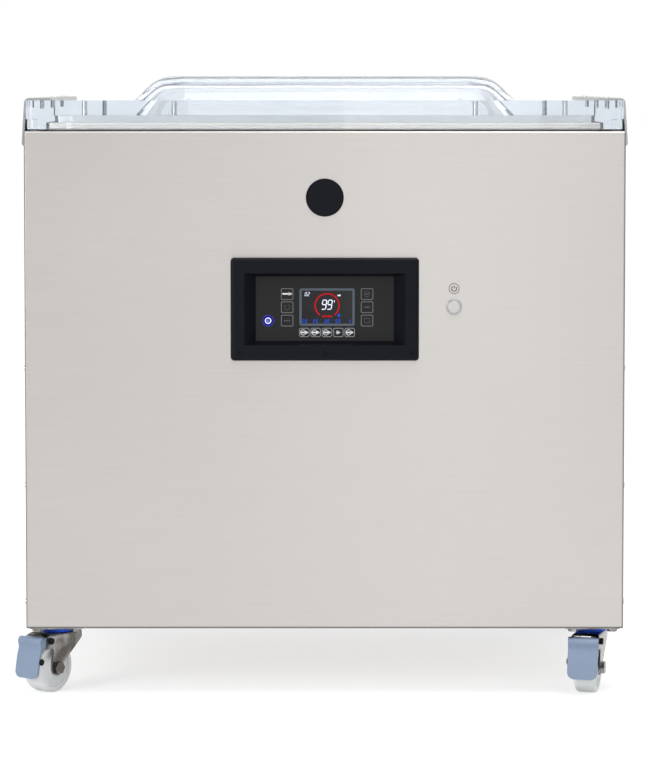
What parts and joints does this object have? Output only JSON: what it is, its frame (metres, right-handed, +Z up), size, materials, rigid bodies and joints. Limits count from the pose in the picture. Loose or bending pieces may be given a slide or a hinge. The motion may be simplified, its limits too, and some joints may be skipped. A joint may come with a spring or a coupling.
{
  "type": "chamber vacuum sealer",
  "caption": "Floor-standing chamber vacuum sealer: steel cabinet on braked swivel castors, deep chamber, hinged clear domed lid, lifting seal bars and a recessed control panel.",
  "frame": {"origin": "on the floor under the middle of the cabinet", "axes": "X to the machine's right as its front is looked at, front towards -Y, Z up"},
  "size_m": [0.988, 0.7607, 0.985],
  "materials": {
    "panel_steel": "satin stainless sheet",
    "chamber_steel": "bright stainless sheet",
    "arm_steel": "bent stainless sheet",
    "bright_steel": "turned stainless",
    "castor_steel": "pressed stainless",
    "aluminium_bar": "plain aluminium",
    "clear_acrylic": "polished clear acrylic",
    "gasket_rubber": "cream rubber",
    "silicone": "silicone",
    "bezel_plastic": "fine moulded texture",
    "foil": "printed foil",
    "display_glass": "dark display window",
    "circuit_board": "coated board",
    "black_plastic": "black",
    "seal_blue": "blue plastic",
    "nylon": "white nylon",
    "pedal_plastic": "blue grey plastic",
    "pump_paint": "painted aluminium castings",
    "rubber": "black rubber",
    "valve_brass": "machined brass",
    "transformer_iron": "varnished core"
  },
  "bodies": {
    "cabinet": {"base_tray": "panel_steel", "front_panel": "panel_steel", "left_side_panel": "panel_steel", "right_side_panel": "panel_steel", "rear_panel": "panel_steel", "panel_screws": "bright_steel", "cable_gland": "black_plastic", "chamber_tub": "chamber_steel", "suction_cover": "chamber_steel", "lift_cylinders": "aluminium_bar", "hinge_bearings": "aluminium_bar", "gas_cylinders": "black_plastic", "control_bezel": "bezel_plastic", "keypad_foil": "foil", "display_window": "display_glass", "control_board": "circuit_board", "bezel_screws": "bezel_plastic", "badge_disc": "bezel_plastic", "switch_collar": "bright_steel", "castor_plates": "castor_steel", "castor_dust_seals": "seal_blue", "castor_bolts": "bright_steel", "vacuum_pump": "pump_paint", "pump_motor": "pump_paint", "exhaust_filter": "pump_paint", "pump_mounts": "rubber", "suction_fitting": "bright_steel", "suction_hose": "rubber", "valve_block": "valve_brass", "seal_transformer": "transformer_iron"},
    "lid": {"lid_shell": "clear_acrylic", "lid_gasket": "gasket_rubber", "counter_bars": "aluminium_bar", "counter_silicones": "silicone", "counter_bar_screws": "bright_steel", "left_hinge_arm": "arm_steel", "right_hinge_arm": "arm_steel", "arm_screws": "bright_steel", "hinge_shaft": "bright_steel", "shaft_caps": "bright_steel", "shaft_levers": "bright_steel"},
    "left_gas_rod": {"left_gas_rod": "bright_steel"},
    "right_gas_rod": {"right_gas_rod": "bright_steel"},
    "front_seal_bar": {"front_seal_bar": "aluminium_bar"},
    "rear_seal_bar": {"rear_seal_bar": "aluminium_bar"},
    "power_button": {"power_button": "bright_steel"},
    "front_left_castor": {"front_left_fork": "castor_steel", "front_left_axle": "bright_steel"},
    "front_left_wheel": {"front_left_wheel": "nylon"},
    "front_left_brake": {"front_left_brake_pedal": "pedal_plastic"},
    "front_right_castor": {"front_right_fork": "castor_steel", "front_right_axle": "bright_steel"},
    "front_right_wheel": {"front_right_wheel": "nylon"},
    "front_right_brake": {"front_right_brake_pedal": "pedal_plastic"},
    "rear_left_castor": {"rear_left_fork": "castor_steel", "rear_left_axle": "bright_steel"},
    "rear_left_wheel": {"rear_left_wheel": "nylon"},
    "rear_right_castor": {"rear_right_fork": "castor_steel", "rear_right_axle": "bright_steel"},
    "rear_right_wheel": {"rear_right_wheel": "nylon"}
  },
  "joints": [
    {"name": "lid_hinge", "type": "hinge", "parent": "cabinet", "child": "lid", "pos_m": [0, 0.338, 0.866], "axis": [-1, 0, 0], "range_deg": [0, 55]},
    {"name": "left_gas_rod_slide", "type": "slide", "parent": "cabinet", "child": "left_gas_rod", "axis": [0, 0, 1], "range_m": [0, 0.02606]},
    {"name": "right_gas_rod_slide", "type": "slide", "parent": "cabinet", "child": "right_gas_rod", "axis": [0, 0, 1], "range_m": [0, 0.02606]},
    {"name": "front_seal_bar_lift", "type": "slide", "parent": "cabinet", "child": "front_seal_bar", "axis": [0, 0, 1], "range_m": [0, 0.008]},
    {"name": "rear_seal_bar_lift", "type": "slide", "parent": "cabinet", "child": "rear_seal_bar", "axis": [0, 0, 1], "range_m": [0, 0.008]},
    {"name": "power_button_press", "type": "slide", "parent": "cabinet", "child": "power_button", "axis": [0, 1, 0], "range_m": [0, 0.003], "stiffness_N_per_m": 600},
    {"name": "front_left_swivel", "type": "hinge", "parent": "cabinet", "child": "front_left_castor", "pos_m": [-0.428, -0.298, 0.1], "axis": [0, 0, 1], "continuous": true},
    {"name": "front_left_wheel_spin", "type": "hinge", "parent": "front_left_castor", "child": "front_left_wheel", "pos_m": [-0.44436, -0.31821, 0.04], "axis": [0.7771, -0.6293, 0], "continuous": true},
    {"name": "front_left_brake_release", "type": "hinge", "parent": "front_left_castor", "child": "front_left_brake", "pos_m": [-0.45569, -0.33219, 0.085], "axis": [-0.7771, 0.6293, 0], "range_deg": [0, 12]},
    {"name": "front_right_swivel", "type": "hinge", "parent": "cabinet", "child": "front_right_castor", "pos_m": [0.428, -0.298, 0.1], "axis": [0, 0, 1], "continuous": true},
    {"name": "front_right_wheel_spin", "type": "hinge", "parent": "front_right_castor", "child": "front_right_wheel", "pos_m": [0.42149, -0.32317, 0.04], "axis": [0.9681, -0.2504, 0], "continuous": true},
    {"name": "front_right_brake_release", "type": "hinge", "parent": "front_right_castor", "child": "front_right_brake", "pos_m": [0.41698, -0.3406, 0.085], "axis": [-0.9681, 0.2504, 0], "range_deg": [0, 12]},
    {"name": "rear_left_swivel", "type": "hinge", "parent": "cabinet", "child": "rear_left_castor", "pos_m": [-0.428, 0.298, 0.1], "axis": [0, 0, 1], "continuous": true},
    {"name": "rear_left_wheel_spin", "type": "hinge", "parent": "rear_left_castor", "child": "rear_left_wheel", "pos_m": [-0.42127, 0.32311, 0.04], "axis": [-0.9659, 0.2588, 0], "continuous": true},
    {"name": "rear_right_swivel", "type": "hinge", "parent": "cabinet", "child": "rear_right_castor", "pos_m": [0.428, 0.298, 0.1], "axis": [0, 0, 1], "continuous": true},
    {"name": "rear_right_wheel_spin", "type": "hinge", "parent": "rear_right_castor", "child": "rear_right_wheel", "pos_m": [0.45096, 0.31021, 0.04], "axis": [-0.4695, 0.8829, 0], "continuous": true}
  ],
  "couplings": [
    {"joint": "left_gas_rod_slide", "follows": "lid_hinge", "m_per_rad": 0.026937},
    {"joint": "right_gas_rod_slide", "follows": "lid_hinge", "m_per_rad": 0.026937}
  ]
}
